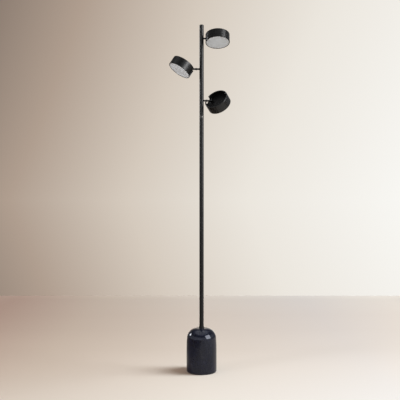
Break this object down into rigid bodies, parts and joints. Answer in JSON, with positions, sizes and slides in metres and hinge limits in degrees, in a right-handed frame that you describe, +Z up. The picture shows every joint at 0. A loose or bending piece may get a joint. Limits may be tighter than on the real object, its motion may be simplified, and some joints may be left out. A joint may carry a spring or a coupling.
{
  "type": "tree floor lamp",
  "caption": "Free-standing floor lamp: slim black pole on a bullet-shaped stone foot, with drum heads on short arms that swivel, tilt and turn.",
  "frame": {"origin": "centre of the foot pad's underside, on the floor", "axes": "+Z up along the pole; +X along the top and lower arms; -Y towards the viewer of the picture"},
  "size_m": [0.2828, 0.1475, 1.6],
  "materials": {
    "black_stone": "polished black marble",
    "foot_pad": "matt foam pad",
    "black_steel": "satin black",
    "bright_ring": "turned steel",
    "zinc_steel": "zinc plated",
    "black_rubber": "matt",
    "black_screw": "black oxide",
    "wire_cover": "insulated wire",
    "black_drum": "satin black paint",
    "white_board": "white solder mask",
    "light_source": "phosphor cover",
    "white_reflector": "matt white",
    "frosted_disc": "frosted acrylic",
    "black_bezel": "satin black"
  },
  "bodies": {
    "stand": {"marble_base": "black_stone", "foot_pad": "foot_pad", "base_plate": "zinc_steel", "threaded_tube": "zinc_steel", "base_nut": "zinc_steel", "cord_gland": "black_rubber", "supply_lead": "black_rubber", "lower_pole": "black_steel", "pole_foot_bush": "zinc_steel", "joint_ring": "bright_ring", "pole_joiner": "zinc_steel", "upper_pole": "black_steel", "pole_cap": "black_steel", "pole_collar": "black_steel", "stub_nuts": "zinc_steel", "top_arm_stub": "black_steel", "middle_arm_stub": "black_steel", "lower_arm_stub": "black_steel"},
    "top_arm": {"top_swivel_collar": "black_steel", "top_arm": "black_steel", "top_arm_wires": "wire_cover"},
    "top_fork": {"top_tilt_fork": "black_steel", "top_tilt_screw": "black_screw", "top_turn_nut": "zinc_steel"},
    "top_head": {"top_head_shell": "black_drum", "top_led_board": "white_board", "top_board_screws": "zinc_steel", "top_led_chips": "light_source", "top_reflector": "white_reflector", "top_diffuser": "frosted_disc", "top_bezel": "black_bezel", "top_head_wires": "wire_cover"},
    "middle_arm": {"middle_swivel_collar": "black_steel", "middle_arm": "black_steel", "middle_arm_wires": "wire_cover"},
    "middle_fork": {"middle_tilt_fork": "black_steel", "middle_tilt_screw": "black_screw", "middle_turn_nut": "zinc_steel"},
    "middle_head": {"middle_head_shell": "black_drum", "middle_led_board": "white_board", "middle_board_screws": "zinc_steel", "middle_led_chips": "light_source", "middle_reflector": "white_reflector", "middle_diffuser": "frosted_disc", "middle_bezel": "black_bezel", "middle_head_wires": "wire_cover"},
    "lower_arm": {"lower_swivel_collar": "black_steel", "lower_arm": "black_steel", "lower_arm_wires": "wire_cover"},
    "lower_fork": {"lower_tilt_fork": "black_steel", "lower_tilt_screw": "black_screw", "lower_turn_nut": "zinc_steel"},
    "lower_head": {"lower_head_shell": "black_drum", "lower_led_board": "white_board", "lower_board_screws": "zinc_steel", "lower_led_chips": "light_source", "lower_reflector": "white_reflector", "lower_diffuser": "frosted_disc", "lower_bezel": "black_bezel", "lower_head_wires": "wire_cover"}
  },
  "joints": [
    {"name": "top_swivel", "type": "hinge", "parent": "stand", "child": "top_arm", "pos_m": [0, 0, 1.5355], "axis": [1, 0, 0], "range_deg": [-153.5, 186.5]},
    {"name": "top_tilt", "type": "hinge", "parent": "top_arm", "child": "top_fork", "pos_m": [0.0454, 0, 1.5355], "axis": [0, -0.9588, 0.284], "range_deg": [-3.3, 39.7]},
    {"name": "top_turn", "type": "hinge", "parent": "top_fork", "child": "top_head", "pos_m": [0.0454, 0, 1.5355], "axis": [-0.0052, 0.284, 0.9588], "range_deg": [-0.5, 55.5]},
    {"name": "middle_swivel", "type": "hinge", "parent": "stand", "child": "middle_arm", "pos_m": [0, 0, 1.3944], "axis": [-1, 0, 0], "range_deg": [-182.5, 157.5]},
    {"name": "middle_tilt", "type": "hinge", "parent": "middle_arm", "child": "middle_fork", "pos_m": [-0.0603, 0, 1.3944], "axis": [0, 0.9763, -0.2164], "range_deg": [-35, 8]},
    {"name": "middle_turn", "type": "hinge", "parent": "middle_fork", "child": "middle_head", "pos_m": [-0.0603, 0, 1.3944], "axis": [0.5299, 0.1836, 0.8279], "range_deg": [-33, 23]},
    {"name": "lower_swivel", "type": "hinge", "parent": "stand", "child": "lower_arm", "pos_m": [0, 0, 1.2484], "axis": [1, 0, 0], "range_deg": [-217.9, 122.1]},
    {"name": "lower_tilt", "type": "hinge", "parent": "lower_arm", "child": "lower_fork", "pos_m": [0.0454, 0, 1.2484], "axis": [0, -0.6704, -0.742], "range_deg": [-29, 14]},
    {"name": "lower_turn", "type": "hinge", "parent": "lower_fork", "child": "lower_head", "pos_m": [0.0454, 0, 1.2484], "axis": [-0.4384, -0.6669, 0.6026], "range_deg": [-0.7, 55.3]}
  ]
}
